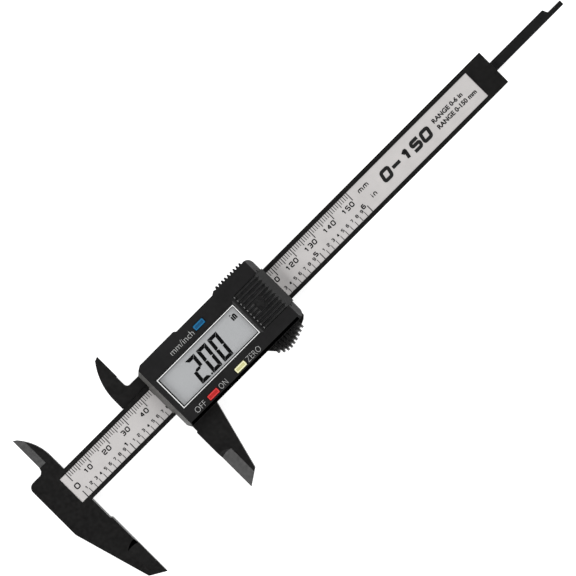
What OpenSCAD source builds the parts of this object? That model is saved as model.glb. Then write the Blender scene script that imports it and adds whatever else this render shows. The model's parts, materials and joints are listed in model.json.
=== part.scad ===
// Digital caliper, 150 mm / 6 in, lying on its back with the display facing up.
// X runs along the beam towards the depth rod, Y towards the inside jaws, Z out of the display.
// Z = 0 is the back of the slider. Lengths are in millimetres.
// Shapes on the beam are drawn with X = 0 at the zero mark of the printed scale.
// Shapes on the slider are drawn with X = 0 at the measuring face of the sliding outside jaw.
// Both use Y = 0 on the centre line of the beam. The object is then centred on its bounding box.

/* [Beam] */
// Length from the outer edge of the fixed jaw to the plain end of the beam
beam_l = 236.95; // [233:0.05:245]
// Width of the beam
beam_w = 15.7; // [15.5:0.02:15.76]
// Thickness of the beam and of the jaws
beam_t = 3.8; // [3.7:0.1:3.9]
// Length of the silver scale label
label_l = 217.4; // [212:0.1:218]
// Width of the silver scale label
label_w = 12.25; // [12:0.05:12.4]

/* [Jaws] */
// Gap between the measuring faces in the rest pose
opening = 45.2; // [20:0.1:60]
// Reach of the fixed outside jaw below the centre line of the beam
outside_reach = 47.4; // [46.8:0.1:48]
// Reach of the inside jaws above the centre line of the beam
inside_reach = 29; // [28.8:0.1:30]
// Thickness left at the thin measuring edges of the outside jaws
knife_edge_t = 1.6; // [1.2:0.1:2.4]

/* [Slider] */
// Length of the slider housing
slider_l = 60.65; // [60.5:0.05:61]
// Height of the housing face above the back of the slider
housing_h = 14.4; // [14.4:0.1:15]
// Thickness of the back plate of the slider
back_t = 1.6; // [1.5:0.05:1.65]
// Running clearance between the slider and the beam
running_gap = 0.1; // [0.08:0.01:0.15]
// Number of grip teeth along the upper edge of the housing
grip_teeth = 9; // [5:1:9]
// Number of ribs on the thumb rest
thumb_ribs = 9; // [5:1:9]

/* [Display] */
// Length of the display window
window_l = 40.49; // [40:0.01:40.5]
// Width of the display window
window_w = 14.89; // [14.5:0.01:15]
// Width of the sloping bezel around the display window
bezel_w = 0.9; // [0.6:0.1:1]

/* [Buttons] */
// Height of a button above the housing face
button_proud = 0.5; // [0.3:0.1:1]
// Travel of a button
button_travel = 0.6; // [0.4:0.1:0.6]

/* [Battery] */
// Diameter of the button cell
cell_d = 11.6; // [11:0.1:11.6]
// Height of the button cell
cell_h = 5.4; // [4.8:0.1:5.4]
// Number of grip ribs on the battery cover
door_ribs = 10; // [6:1:10]

/* [Depth rod] */
// Width of the depth rod
rod_w = 4.1; // [3.6:0.1:4.2]
// Thickness of the depth rod
rod_t = 1.6; // [1.2:0.1:1.6]
// Distance from the sliding measuring face to the tip of the depth rod
rod_reach = 213.2; // [200:0.1:230]

/* [Hidden] */
$fn = 64;
eps = 0.01;

// Heights
beam_z = back_t + 0.1;
beam_top = beam_z + beam_t;
half_t = beam_t / 2 - 0.1;
front_half_z = beam_top - half_t;
board_z = beam_top + 0.4;
board_t = 0.8;
board_top = board_z + board_t;
face_t = 1.3;
face_z = housing_h - face_t;

// Beam and fixed jaw
jaw_left = -13.65;
beam_right = jaw_left + beam_l;
face_x = 0.9;
head_relief = 0.6;
shoulder_y = 12.3;
shoulder_r = 2.5;
inside_edge = -6.5;
inside_root = -0.05;
inside_curve_r = 20;
arm_w = 7.15;
arm_curve_r = 26;
under_lip_z = 0.7;
knife_w = 5;
knife_top = -29.6;
knife_curve_r = 7.5;
label_x = -3.2;
label_y = -6.2;
recess_depth = 1.1;
scale_board_t = 0.6;
electrode_t = 0.05;
electrode_pitch = 5.08;
label_t = 0.2;
rod_y = 0.2;
groove_side = 0.12;
groove_depth = rod_t + 0.1;
groove_x = 8;
stop_l = 7;
stop_x = beam_right - stop_l - 0.8;
stop_t = 0.9;
stop_screw_y = 5;

// Slider housing outline
wall_x0 = 0.1;
cover_x0 = -0.35;
wall_x1 = wall_x0 + slider_l;
upper_y = 14.9;
notch_y = 14.15;
grip_y = 15.66;
lower_y = -15.25;
lower_bevel = 1.5;
right_bevel = 2;
corner_r = 2.4;
upper_corner_r = 2.6;
tooth_pitch = 1.53;
tooth_h = 0.93;
teeth_x = 43.75;
cavity = [2.9, -13.8, 58.3, 12.5];
channel_lo = -beam_w / 2 - running_gap;
channel_hi = beam_w / 2 + running_gap + 0.02;
lip_x = -1.05;
lip_lo = -6.85;
lip_hi = 6.6;
slope_top_x = 1.7;

// Display
window_x = 3.74;
window_y = -8.34;
lens_t = 1;
lens_sunk = 0.5;
lens_gap = 0.06;
lens_z = housing_h - lens_sunk - lens_t;
ledge = 0.8;
glass_x = 3.9;
glass_y = -8.2;
glass_l = 40.4;
glass_w = 15.4;
glass_t = 1.8;
ledge_t = 0.4;
glass_z = lens_z - ledge_t - 0.15 - glass_t;

// Buttons: centre x, centre y, length, width
units_key = [30.05, 10.02, 4.9, 2.1];
power_key = [15.45, -12.2, 4.95, 2.05];
zero_key = [29.8, -12.2, 4.95, 2.1];
key_gap = 0.2;
key_flange = 0.45;
key_side_flange = 0.35;
dome_h = 0.5;

// Battery bay
cell_x = 52.3;
cell_y = -0.6;
cell_z = board_top + 0.25;
door_x = 46;
door_lo = -8.63;
door_hi = 8.28;
door_tongue = 0.9;
door_gap = 0.1;
door_end = wall_x1 + 0.55;
door_bevel_x = 58.5;
door_lower_z = 9.5;
tongue_z = 12.5;
tongue_t = 0.5;
rib_r = 0.65;
door_top = housing_h - 0.6;
bay_floor_z = board_top + 0.5;

// Thumb rest
rest_x = 43.6;
rest_peak_x = 48.1;
rest_peak_y = -21.05;
rest_pitch = 1.625;
rest_rib_w = 0.9;
rest_rib_h = 0.95;
rest_top = 9.6;
rest_bottom = 0.7;

// Fasteners: [x, y]
case_screw_at = [[4.4, 11.2], [4.4, -12], [57, 11.2], [57, -12]];
board_screw_at = [[9.9, 10.9], [39.9, 10.9], [8.7, -11.8], [39.9, -11.8]];
rod_screw_at = [[45.9, rod_y], [55.9, rod_y]];
case_screw_r = 0.95;
board_screw_r = 0.6;
rod_screw_r = 0.8;
screw_gap = 0.05;
rod_left = 42;

// Centre of the bounding box
centre_x = (jaw_left + face_x + opening + rod_reach) / 2;
centre_y = (inside_reach - outside_reach) / 2;

module on_beam() {
    translate([-centre_x, -centre_y, 0]) children();
}

module on_slider() {
    translate([face_x + opening - centre_x, -centre_y, 0]) children();
}

// Points along a circular arc
function arc(x, y, r, from, to, steps = 10) =
    [for (i = [0:steps]) let (a = from + (to - from) * i / steps) [x + r * cos(a), y + r * sin(a)]];

// A box between two corners
module block(low, high) {
    translate(low) cube(high - low);
}

// A solid with its outline in X and Z, running along Y
module prism_xz(points, y0, y1) {
    translate([0, y1, 0]) rotate([90, 0, 0]) linear_extrude(y1 - y0) polygon(points);
}

// A solid with its outline in Y and Z, running along X
module prism_yz(points, x0, x1) {
    translate([x0, 0, 0]) rotate([90, 0, 90]) linear_extrude(x1 - x0) polygon(points);
}

module rounded_rect(x0, y0, x1, y1, r) {
    translate([x0 + r, y0]) square([x1 - x0 - 2 * r, y1 - y0]);
    translate([x0, y0 + r]) square([x1 - x0, y1 - y0 - 2 * r]);
    for (x = [x0 + r, x1 - r], y = [y0 + r, y1 - r]) translate([x, y]) circle(r);
}

// A screw driven in from the back: its head starts at z = 0 and has a cross slot
module back_screw(head_r, head_h, shank_r, length) {
    difference() {
        union() {
            cylinder(r = head_r, h = head_h);
            cylinder(r = shank_r, h = length);
        }
        for (turn = [0, 90]) rotate(turn) translate([-head_r * 0.65, -0.15, -eps])
            cube([head_r * 1.3, 0.3, head_h * 0.5]);
    }
}

// Cut that thins an outside jaw towards its measuring face at x = 0; the blade lies on the -X side.
// It runs out in part of a cone that slopes at 45 degrees.
module knife_cut() {
    edge_z = beam_z + knife_edge_t;
    intersection() {
        prism_xz([[1, edge_z], [0, edge_z], [-knife_w, beam_top], [-knife_w, beam_top + 1],
            [1, beam_top + 1]], -outside_reach - 1, knife_top + 2);
        union() {
            translate([0, knife_top - knife_curve_r, beam_top - 3])
                cylinder(r1 = knife_curve_r - 3, r2 = knife_curve_r + 1, h = 4, $fn = 96);
            block([-knife_curve_r, -outside_reach - 2, beam_top - 3],
                [knife_curve_r, knife_top - knife_curve_r, beam_top + 1]);
        }
    }
}

module fixed_outside_jaw_2d() {
    polygon([[jaw_left, -beam_w / 2 + 1], [jaw_left, -13], [-5, -43.55], [face_x, -outside_reach],
        [face_x, -18.2], [face_x - head_relief, -17.6], [face_x - head_relief, -beam_w / 2 + 1]]);
}

module fixed_inside_jaw_2d() {
    edge = face_x + inside_edge;
    root = face_x + inside_root;
    polygon(concat(
        [[jaw_left, beam_w / 2 - 1], [root, beam_w / 2 - 1]],
        arc(root - inside_curve_r, 14.8, inside_curve_r, 0, 41.5),
        [[edge, inside_reach], [edge, 13.9], [edge - 0.35, 13.1], [edge - 1.2, shoulder_y + 0.15],
         [edge - 1.7, shoulder_y]],
        arc(jaw_left + shoulder_r, shoulder_y - shoulder_r, shoulder_r, 90, 180, 8)));
}

module beam() {
    color("#262424") on_beam() difference() {
        union() {
            block([jaw_left, -beam_w / 2, beam_z], [beam_right, beam_w / 2, beam_top]);
            translate([0, 0, beam_z]) linear_extrude(beam_t) fixed_outside_jaw_2d();
            translate([0, 0, front_half_z]) linear_extrude(half_t) fixed_inside_jaw_2d();
        }
        translate([face_x, 0, 0]) knife_cut();
        // front bevel of the inside jaw
        prism_xz([[face_x + inside_edge - 1, front_half_z + 0.4], [face_x + inside_edge, front_half_z + 0.4],
            [face_x + inside_edge + 3.3, beam_top], [face_x + inside_edge + 3.3, beam_top + 1],
            [face_x + inside_edge - 1, beam_top + 1]], 14.3, inside_reach + 1);
        // recess for the scale board and its label
        block([label_x, label_y, beam_top - recess_depth],
            [label_x + label_l, label_y + label_w, beam_top + 1]);
        // groove for the depth rod, open at the end of the beam
        block([groove_x, rod_y - rod_w / 2 - groove_side, beam_z - 1],
            [beam_right + 1, rod_y + rod_w / 2 + groove_side, beam_z + groove_depth]);
        for (side = [-1, 1]) translate([stop_x + stop_l / 2, side * stop_screw_y, beam_z - 1])
            cylinder(r = 0.9 + screw_gap, h = 3.6);
    }
}

module scale_board() {
    color("#2f6b3c") on_beam()
        block([label_x + 0.1, label_y + 0.1, beam_top - recess_depth],
            [label_x + label_l - 0.1, label_y + label_w - 0.1, beam_top - recess_depth + scale_board_t]);
}

module scale_electrodes() {
    z = beam_top - recess_depth + scale_board_t;
    color("#b87333") on_beam()
        for (x = [label_x + 4 : electrode_pitch : label_x + label_l - 5])
            block([x, label_y + 2, z], [x + electrode_pitch / 2, label_y + label_w - 2, z + electrode_t]);
}

module scale_label() {
    z = beam_top - recess_depth + scale_board_t + electrode_t;
    color("#d0cbc9") on_beam() block([label_x + 0.05, label_y + 0.05, z],
        [label_x + label_l - 0.05, label_y + label_w - 0.05, z + label_t]);
}

module end_stop_plate() {
    color("#8d9096") on_beam() difference() {
        translate([0, 0, beam_z - stop_t]) linear_extrude(stop_t)
            rounded_rect(stop_x, -beam_w / 2 + 0.6, stop_x + stop_l, beam_w / 2 - 0.6, 0.8);
        // channel over the depth rod
        block([stop_x - 1, rod_y - rod_w / 2 - 0.2, beam_z - 0.3],
            [stop_x + stop_l + 1, rod_y + rod_w / 2 + 0.2, beam_z + 1]);
        for (side = [-1, 1]) translate([stop_x + stop_l / 2, side * stop_screw_y, beam_z - stop_t - eps]) {
            cylinder(r = 1, h = stop_t + 1);
            cylinder(r = 1.7, h = 0.55);
        }
    }
}

module end_stop_screws() {
    color("silver") on_beam() for (side = [-1, 1])
        translate([stop_x + stop_l / 2, side * stop_screw_y, beam_z - stop_t + 0.04])
            back_screw(1.6, 0.5, 0.9, 3.2);
}

// Outline of the slider behind the beam and beside it
module frame_2d() {
    polygon(concat(
        [[wall_x0, -13.3], [wall_x0 + 1.5, lower_y]],
        arc(wall_x1 - corner_r, lower_y + corner_r, corner_r, -90, 0, 6),
        arc(wall_x1 - corner_r, notch_y - corner_r, corner_r, 0, 90, 6),
        [[wall_x0 + 3, notch_y], [wall_x0, 11.9]]));
}

// Outline of the front cover, with the grip teeth along its upper edge
module cover_2d() {
    teeth = [for (i = [0:grip_teeth - 1], p = [0:3])
        [teeth_x + (i + [0, 0.2, 0.55, 0.75][p]) * tooth_pitch, grip_y - (p == 0 || p == 3 ? tooth_h : 0)]];
    polygon(concat(
        [[cover_x0, 12.5], [cover_x0, -13.6], [cover_x0 + 1.3, lower_y]],
        arc(wall_x1 - corner_r, lower_y + corner_r, corner_r, -90, 0, 6),
        arc(wall_x1 - upper_corner_r, upper_y - upper_corner_r, upper_corner_r, 0, 90, 6),
        [for (i = [len(teeth) - 1:-1:0]) teeth[i]],
        [[teeth_x - 1.15, 15.1], [41.1, notch_y], [21.8, notch_y], [21.1, upper_y], [3.5, upper_y]]));
}

// Plane sloping up and inwards from the reading lip to the housing face
module left_slope() {
    prism_xz([[lip_x - 2, 0], [lip_x, beam_top + 0.25], [slope_top_x, housing_h],
        [slope_top_x, housing_h + 1], [lip_x - 2, housing_h + 1]], -30, 30);
}

module sliding_outside_jaw_2d() {
    polygon([[0.5, -12], [0.5, -17.8], [0, -18.2], [0, -outside_reach], [6.3, -43.1],
        [13.6, lower_y], [13.6, -12]]);
}

module sliding_inside_jaw_2d() {
    polygon(concat(
        [[wall_x0 + 3, channel_hi], [inside_edge - arm_w, channel_hi]],
        arc(inside_edge - arm_w + arm_curve_r, 12.5, arm_curve_r, 180, 142.6),
        [[inside_edge, inside_reach], [inside_edge, 18.6], [inside_edge - 0.3, 18.3]],
        arc(inside_edge + 1.3, 14.35, 1.6, 180, 270, 6),
        [[wall_x0 + 3, 12.75]]));
}

// Reach of the thumb rest below the centre line, at a distance x along the slider
function rest_y(x) = rest_peak_y + (x < rest_peak_x
    ? 2 * pow((rest_peak_x - x) / 4.5, 2)
    : 2.6 * pow((x - rest_peak_x) / 8.5, 1.4));

// Section of the thumb rest in Y and Z, from the housing wall out to a given reach
function rest_section(reach, drop) =
    let (curve = min(3.2, lower_y - 0.4 - reach), flat_top = 5.2)
    concat([[lower_y + 0.6, rest_bottom], [reach + 1.2, rest_bottom], [reach, rest_bottom + 1.2]],
    [for (a = [0:15:90]) [reach + curve * (1 - cos(a)), flat_top + (rest_top - drop - flat_top) * sin(a)]],
    [[lower_y - 0.05, rest_top - drop], [lower_y - 0.05, beam_top], [lower_y + 0.6, beam_top]]);

module thumb_rest() {
    xs = [for (i = [0:thumb_ribs - 1]) rest_x + i * rest_pitch];
    for (x = xs) prism_yz(rest_section(rest_y(x), 0), x - rest_rib_w / 2, x + rest_rib_w / 2);
    for (i = [0:thumb_ribs - 2]) {
        reach = (rest_y(xs[i]) + rest_y(xs[i + 1])) / 2 + rest_rib_h;
        prism_yz(rest_section(reach, 0.6), xs[i] + rest_rib_w / 2 - eps, xs[i + 1] - rest_rib_w / 2 + eps);
    }
    // flanks that run back to the housing on both sides of the ribs
    translate([0, 0, rest_bottom]) linear_extrude(7) {
        polygon([[rest_x - 2.7, lower_y + 0.6], [rest_x - 2.7, lower_y], [rest_x - 0.4, -17.8],
            [rest_x, -17.8], [rest_x, lower_y + 0.6]]);
        last_x = xs[thumb_ribs - 1];
        polygon([[last_x, lower_y + 0.6], [last_x, -17.15], [57.2, -17.15], [58.9, -16.4],
            [60.2, lower_y], [60.2, -13.5]]);
    }
}

module slider_frame() {
    color("#242323") on_slider() difference() {
        union() {
            linear_extrude(beam_top) frame_2d();
            translate([0, 0, beam_z]) linear_extrude(beam_t) sliding_outside_jaw_2d();
            translate([0, 0, beam_z]) linear_extrude(half_t) sliding_inside_jaw_2d();
            difference() {
                thumb_rest();
                block([wall_x0, lower_y - 0.05, beam_top], [wall_x1 + 1, 0, rest_top + 1]);
            }
            // lip of the inside jaw that reaches under the beam
            block([inside_edge - arm_w, channel_hi, under_lip_z],
                [wall_x0 + 3, channel_hi + 0.8, beam_z + 0.1]);
            block([inside_edge - arm_w, channel_hi - 1.2, under_lip_z],
                [wall_x0 + 3, channel_hi + 0.1, back_t]);
        }
        // channel for the beam
        block([wall_x0 - 1, channel_lo, back_t], [wall_x1 + 1, channel_hi, beam_top + 1]);
        // pocket for the gib strip
        block([9, channel_hi - 1, beam_z + 0.4], [53, channel_hi + 0.5, beam_top + 1]);
        mirror([1, 0, 0]) knife_cut();
        // back bevel of the inside jaw
        prism_xz([[inside_edge + 1, front_half_z - 0.6], [inside_edge, front_half_z - 0.6],
            [inside_edge - 3.3, beam_z], [inside_edge - 3.3, beam_z - 1], [inside_edge + 1, beam_z - 1]],
            18.6, inside_reach + 1);
        for (at = case_screw_at) translate([at[0], at[1], -eps]) {
            cylinder(r = case_screw_r + screw_gap, h = beam_top + 1);
            cylinder(r = 2, h = 1.4);
        }
        for (at = rod_screw_at) translate([at[0], at[1], -eps]) {
            cylinder(r = rod_screw_r + screw_gap, h = back_t + 1);
            cylinder(r = 1.5, h = 0.9);
        }
        for (at = board_screw_at) translate([at[0], at[1], beam_top - 0.5]) cylinder(r = 1.5, h = 1);
    }
}

module gib_strip() {
    color("#b08d57") on_slider() {
        block([10, channel_hi - 0.06, beam_z + 0.7], [52, channel_hi + 0.24, beam_top - 0.3]);
        for (x = [10, 51.7])
            block([x, channel_hi + 0.23, beam_z + 1.2], [x + 0.3, channel_hi + 0.48, beam_top - 0.8]);
    }
}

// Section of the funnel that the bezel cuts, between two edges of the window
function bezel_section(low, high) = [[low, housing_h - lens_sunk], [high, housing_h - lens_sunk],
    [high + bezel_w, housing_h], [high + bezel_w, housing_h + 1], [low - bezel_w, housing_h + 1],
    [low - bezel_w, housing_h]];

module boss(at, r, z0, z1) {
    translate([at[0], at[1], z0]) cylinder(r = r, h = z1 - z0);
}

// Floor, side walls and cell ring of the battery bay
module battery_bay() {
    block([door_x - 0.9, cavity[1] - 0.5, bay_floor_z],
        [cavity[2] + 0.5, cavity[3] + 0.5, bay_floor_z + 0.8]);
    translate([cell_x, cell_y, bay_floor_z])
        cylinder(r = cell_d / 2 + 1.1, h = cell_z + cell_h - bay_floor_z);
    for (side = [0, 1]) {
        y = side == 0 ? door_lo - door_tongue - door_gap : door_hi + door_tongue + door_gap;
        outward = side == 0 ? -1.2 : 1.2;
        block([door_x, min(y, y + outward), bay_floor_z],
            [cavity[2] + 0.5, max(y, y + outward), face_z + eps]);
        block([door_x, min(y, y - outward), bay_floor_z + 4],
            [cavity[2] + 0.5, max(y, y - outward), tongue_z - 0.1]);
    }
}

module front_cover() {
    color("#28282a") on_slider() difference() {
        union() {
            difference() {
                translate([0, 0, beam_top]) linear_extrude(housing_h - beam_top) cover_2d();
                block([cavity[0], cavity[1], beam_top - 1], [cavity[2], cavity[3], face_z]);
                // bevels along the right and lower edges of the face
                prism_xz([[wall_x1 - right_bevel, housing_h], [wall_x1, 9.2], [wall_x1 + 1, 9.2],
                    [wall_x1 + 1, housing_h + 1], [wall_x1 - right_bevel, housing_h + 1]], -30, 30);
                prism_yz([[lower_y + lower_bevel, housing_h], [lower_y, housing_h - lower_bevel],
                    [lower_y - 1, housing_h - lower_bevel], [lower_y - 1, housing_h + 1],
                    [lower_y + lower_bevel, housing_h + 1]], -5, 70);
            }
            // reading lip over the scale
            prism_xz([[lip_x, beam_top + 0.25], [cavity[0], beam_top + 0.25], [cavity[0], housing_h],
                [slope_top_x, housing_h]], lip_lo, lip_hi);
            // ledge under the display window
            block([window_x - ledge, window_y - ledge, lens_z - ledge_t],
                [window_x + window_l + ledge, window_y + window_w + ledge, face_z + eps]);
            intersection() {
                battery_bay();
                translate([0, 0, beam_top]) linear_extrude(housing_h) cover_2d();
            }
            for (at = case_screw_at) boss(at, 2, beam_top, face_z + eps);
            for (at = board_screw_at) boss(at, 1.5, board_top, face_z + eps);
        }
        left_slope();
        // clearance over the beam and over the fixed jaw
        block([lip_x - 1, channel_lo, beam_top - 1], [wall_x1 + 1, channel_hi, beam_top + 0.25]);
        block([lip_x - 1, -20, beam_top - 1], [wall_x0, 20, beam_top + 0.25]);
        // display window and its sloping bezel
        block([window_x, window_y, lens_z], [window_x + window_l, window_y + window_w, housing_h + 1]);
        intersection() {
            prism_xz(bezel_section(window_x, window_x + window_l), -15, 15);
            prism_yz(bezel_section(window_y, window_y + window_w), 0, 60);
        }
        block([window_x + ledge, window_y + ledge, lens_z - ledge_t - 1],
            [window_x + window_l - ledge, window_y + window_w - ledge, housing_h]);
        for (key = [units_key, power_key, zero_key])
            block([key[0] - key[2] / 2 - key_gap, key[1] - key[3] / 2 - key_gap, face_z - 1],
                [key[0] + key[2] / 2 + key_gap, key[1] + key[3] / 2 + key_gap, housing_h + 1]);
        // mouth of the battery bay and the slots for the tongues of its cover
        block([door_x - door_gap, door_lo - door_gap, face_z - 1],
            [wall_x1 + 1, door_hi + door_gap, housing_h + 1]);
        block([door_x - door_gap, door_lo - door_tongue - door_gap, tongue_z - 0.1],
            [wall_x1 + 1, door_hi + door_tongue + door_gap, face_z]);
        block([cavity[2], door_lo - door_gap, door_lower_z - door_gap],
            [wall_x1 + 1, door_hi + door_gap, housing_h + 1]);
        translate([cell_x, cell_y, board_top]) cylinder(r = cell_d / 2 + 0.15, h = housing_h);
        // slot in the cell ring for the positive contact
        block([cell_x - 2, cell_y + cell_d / 2 - 1, bay_floor_z - 1],
            [cell_x + 2, cell_y + cell_d / 2 + 1.6, tongue_z - 0.1]);
        for (at = case_screw_at) boss(at, case_screw_r + screw_gap, beam_top - 1, 11.8);
        for (at = board_screw_at) boss(at, board_screw_r + screw_gap, board_top - 1, 11);
    }
}

module window_lens() {
    color("#20262a") on_slider() translate([0, 0, lens_z]) linear_extrude(lens_t)
        rounded_rect(window_x + lens_gap, window_y + lens_gap, window_x + window_l - lens_gap,
            window_y + window_w - lens_gap, 0.3);
}

module lcd_holder() {
    color("#e8e6df") on_slider() difference() {
        block([glass_x - 0.8, glass_y - 0.9, board_top],
            [glass_x + glass_l + 0.7, glass_y + glass_w + 0.9, lens_z - ledge_t - 0.1]);
        block([glass_x - 0.1, glass_y - 0.1, glass_z],
            [glass_x + glass_l + 0.1, glass_y + glass_w + 0.1, housing_h]);
        block([glass_x + 1, glass_y + 0.4, board_top - 1],
            [glass_x + glass_l - 1, glass_y + glass_w - 0.4, housing_h]);
        for (at = board_screw_at) boss(at, 1.7, board_top - 1, housing_h);
    }
}

module lcd_glass() {
    color("#b8b8b4") on_slider() {
        block([glass_x, glass_y, glass_z], [glass_x + glass_l, glass_y + glass_w, glass_z + glass_t / 2]);
        block([glass_x, glass_y + 0.4, glass_z + glass_t / 2 - eps],
            [glass_x + glass_l, glass_y + glass_w - 0.4, glass_z + glass_t]);
    }
}

module lcd_reflector() {
    color("#d8d8d2") on_slider()
        block([glass_x + 1.2, glass_y + 2.2, glass_z - 0.2],
            [glass_x + glass_l - 1.2, glass_y + glass_w - 2.2, glass_z]);
}

module zebra_strips() {
    color("#3a3a3d") on_slider() for (y = [glass_y + 0.5, glass_y + glass_w - 1.9])
        block([glass_x + 1.5, y, board_top], [glass_x + glass_l - 1.5, y + 1.4, glass_z]);
}

module main_board() {
    color("#1f5a34") on_slider() difference() {
        block([cavity[0] + 0.2, cavity[1] + 0.3, board_z], [cavity[2] - 0.2, cavity[3] - 0.2, board_top]);
        for (at = case_screw_at) boss(at, 2.3, board_z - 1, board_top + 1);
        for (at = board_screw_at) boss(at, board_screw_r + screw_gap, board_z - 1, board_top + 1);
    }
}

module sensor_pads() {
    pad_pitch = 1.7;
    color("#c9a24a") on_slider() for (x = [8 : pad_pitch : 46])
        block([x, -4.8, board_z - 0.05], [x + 1.1, 4.8, board_z]);
}

module controller_chip() {
    chip_r = 5;
    dome_r = 1.6;
    color("#1a1a1a") on_slider() translate([22, -0.5, board_top])
        rotate_extrude()
            polygon(concat([[0, 0], [chip_r, 0]], arc(chip_r - dome_r, 0, dome_r, 0, 90, 6), [[0, dome_r]]));
}

module board_components() {
    color("#b9bcc2") on_slider() {
        translate([33, 1.5, board_top + 1.05]) rotate([0, 90, 0]) cylinder(r = 1.05, h = 6);
        for (i = [0:4]) block([8.4 + i * 1.6, -4.2, board_top], [9.5 + i * 1.6, -2, board_top + 0.9]);
        for (i = [0:2]) block([32 + i * 2.4, -4.5, board_top], [33.3 + i * 2.4, -2.5, board_top + 0.8]);
    }
}

// A dome sits under its button, but stays clear of the walls of the housing
function dome_y(key) = max(cavity[1] + 2.1, min(key[1], cavity[3] - 2.2));

module switch_domes() {
    color("#c8c8c8") on_slider() for (key = [units_key, power_key, zero_key])
        translate([key[0], dome_y(key), board_top]) intersection() {
            cylinder(r = 1.7, h = dome_h);
            translate([0, 0, dome_h - 4]) sphere(4);
        }
}

module board_screws() {
    color("silver") on_slider() for (at = board_screw_at)
        translate([at[0], at[1], board_z - 0.42]) back_screw(1.2, 0.42, board_screw_r, 5);
}

module case_screws() {
    color("silver") on_slider() for (at = case_screw_at)
        translate([at[0], at[1], 0.3]) back_screw(1.85, 1.05, case_screw_r, 10.8);
}

module battery() {
    color("#c6c8cc") on_slider() translate([cell_x, cell_y, cell_z]) {
        cylinder(r = cell_d / 2 - 1.1, h = 0.5);
        translate([0, 0, 0.45]) cylinder(r = cell_d / 2, h = cell_h - 0.45);
    }
}

// Spring strip that stands on the board and leans on the side of the cell
module battery_contact_positive() {
    y = cell_y + cell_d / 2;
    color("#d9c27a") on_slider() prism_yz([[y + 2.6, board_top], [y + 0.9, board_top],
        [y + 0.9, board_top + 0.25], [y + 1.2, board_top + 0.25], [y + 0.04, 9.6], [y + 0.7, 11.4],
        [y + 0.95, 11.4], [y + 0.3, 9.6], [y + 1.45, board_top + 0.25], [y + 2.6, board_top + 0.25]],
        cell_x - 1.4, cell_x + 1.4);
}

module battery_contact_negative() {
    color("#d9c27a") on_slider() translate([cell_x, cell_y, board_top]) {
        cylinder(r = 3.4, h = 0.22);
        block([-7, -1, 0], [-3, 1, 0.22]);
    }
}

module battery_cover() {
    inner_x = 59.5;
    edge_rib = 0.62;
    rib_pitch = (door_hi - door_lo - 2 * edge_rib) / (door_ribs - 1);
    arrow_x = 50.3;
    arrow_y = -0.8;
    color("#2b2a2b") on_slider() {
        prism_xz([[door_x, tongue_z], [door_x, door_top], [door_bevel_x, door_top], [door_end, 11.3],
            [door_end, door_lower_z], [inner_x, door_lower_z], [inner_x, tongue_z]], door_lo, door_hi);
        block([door_x, door_lo - door_tongue, tongue_z],
            [door_bevel_x, door_hi + door_tongue, tongue_z + tongue_t]);
        // round grip ribs with sloping ends, broken off around the arrow
        intersection() {
            difference() {
                for (i = [0:door_ribs - 1])
                    translate([door_x, door_lo + edge_rib + i * rib_pitch, door_top]) rotate([0, 90, 0])
                        cylinder(r = rib_r, h = door_bevel_x - door_x);
                block([arrow_x - 0.4, arrow_y - 2.3, door_top],
                    [arrow_x + 3.5, arrow_y + 2.3, housing_h + 1]);
            }
            prism_xz([[door_x + 0.05, door_top - 0.3], [door_x + 0.05, door_top + rib_r - 0.3],
                [door_x + 0.65, door_top + rib_r + eps], [door_bevel_x - 0.9, door_top + rib_r + eps],
                [door_bevel_x - 0.05, door_top], [door_bevel_x - 0.05, door_top - 0.3]],
                door_lo - 1, door_hi + 1);
        }
        // arrow that shows which way the cover slides off
        translate([arrow_x, arrow_y, door_top - eps]) linear_extrude(rib_r)
            polygon([[0, 0.7], [0, -0.7], [1.4, -0.7], [1.4, -1.9], [3.1, 0], [1.4, 1.9], [1.4, 0.7]]);
    }
}

// A push button with a flange under the housing face and a stem over its switch dome
module push_button(key) {
    translate([0, 0, face_z - 0.8]) linear_extrude(face_t + 0.8 + button_proud)
        rounded_rect(key[0] - key[2] / 2, key[1] - key[3] / 2, key[0] + key[2] / 2, key[1] + key[3] / 2, 0.4);
    block([key[0] - key[2] / 2 - key_flange, key[1] - key[3] / 2 - key_side_flange, face_z - 0.8],
        [key[0] + key[2] / 2 + key_flange, key[1] + key[3] / 2 + key_side_flange, face_z - 0.1]);
    translate([key[0], dome_y(key), board_top + dome_h + button_travel + 0.05])
        cylinder(r = 0.9, h = face_z - 0.75 - board_top - dome_h - button_travel);
}

module button_units() {
    color("#1c6ea8") on_slider() push_button(units_key);
}

module button_power() {
    color("#d0282c") on_slider() push_button(power_key);
}

module button_zero() {
    color("#e9e6a4") on_slider() push_button(zero_key);
}

module depth_rod() {
    half = rod_w / 2;
    step = rod_reach - 7.6;
    color("#1f1e1f") on_slider() difference() {
        translate([0, rod_y, back_t]) linear_extrude(rod_t) polygon(concat(
            [[rod_left, -half], [rod_reach, -half], [rod_reach, 0]],
            [for (i = [8:-1:0]) [step + 1.3 * i / 8, half * (1 + cos(180 * i / 8)) / 2]],
            [[rod_left, half]]));
        for (at = rod_screw_at) boss(at, rod_screw_r + screw_gap, back_t - 1, back_t + rod_t + 1);
    }
}

module rod_screws() {
    color("silver") on_slider() for (at = rod_screw_at)
        translate([at[0], at[1], 0.15]) back_screw(1.4, 0.7, rod_screw_r, back_t + rod_t - 0.35);
}

beam();
scale_board();
scale_electrodes();
scale_label();
end_stop_plate();
end_stop_screws();
slider_frame();
gib_strip();
front_cover();
window_lens();
lcd_holder();
lcd_glass();
lcd_reflector();
zebra_strips();
main_board();
sensor_pads();
controller_chip();
board_components();
switch_domes();
board_screws();
case_screws();
battery();
battery_contact_positive();
battery_contact_negative();
battery_cover();
button_units();
button_power();
button_zero();
depth_rod();
rod_screws();
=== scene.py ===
"""Looks of the digital caliper: edges, prints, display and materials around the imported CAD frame.

Sizes and places are in millimetres where no comment says otherwise.
"""

import json
import math

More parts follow.
